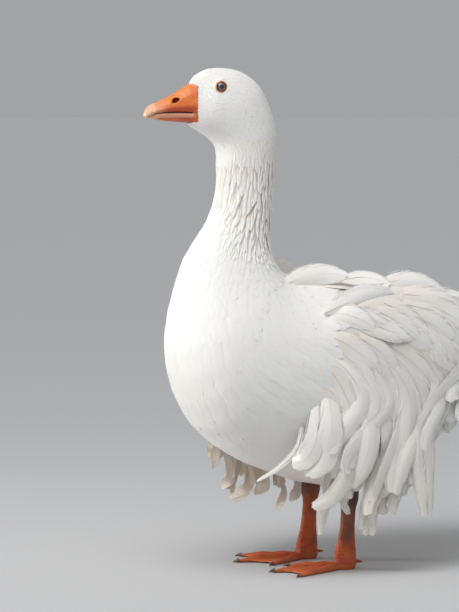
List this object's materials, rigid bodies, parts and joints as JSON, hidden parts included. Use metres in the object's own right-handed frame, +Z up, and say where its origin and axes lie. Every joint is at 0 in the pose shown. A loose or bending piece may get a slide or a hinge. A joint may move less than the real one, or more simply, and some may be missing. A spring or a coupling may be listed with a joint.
{
  "type": "domestic goose",
  "caption": "Life-size standing white domestic goose with an orange bill, orange legs and webbed feet, and long, loose, curling feathers hanging from the folded wings and the rump.",
  "frame": {"origin": "on the floor under the middle of the bird's bounding box", "axes": "+Z up, -Y the way the body faces, +X the bird's left side"},
  "size_m": [0.311, 0.5798, 0.6303],
  "materials": {
    "plumage_white": "matt white contour feathers",
    "plumage_loose": "matt white loose feathers with cream shadows",
    "bill": "satin orange horn, pale pink nail",
    "leg": "orange scaled skin, soiled above",
    "claw": "satin pale horn",
    "eye": "glossy blue-grey iris under a clear cornea"
  },
  "bodies": {
    "root": {"trunk": "plumage_white", "neck": "plumage_white", "head": "plumage_white", "bill_upper": "bill", "bill_lower": "bill", "eye_left": "eye", "eye_right": "eye", "tail": "plumage_loose", "thigh_left": "plumage_white", "thigh_right": "plumage_white", "shank_left": "leg", "shank_right": "leg", "foot_left": "leg", "foot_right": "leg", "claw_left_inner": "claw", "claw_left_middle": "claw", "claw_left_outer": "claw", "claw_right_inner": "claw", "claw_right_middle": "claw", "claw_right_outer": "claw", "wing_left": "plumage_loose", "wing_right": "plumage_loose"}
  },
  "joints": []
}
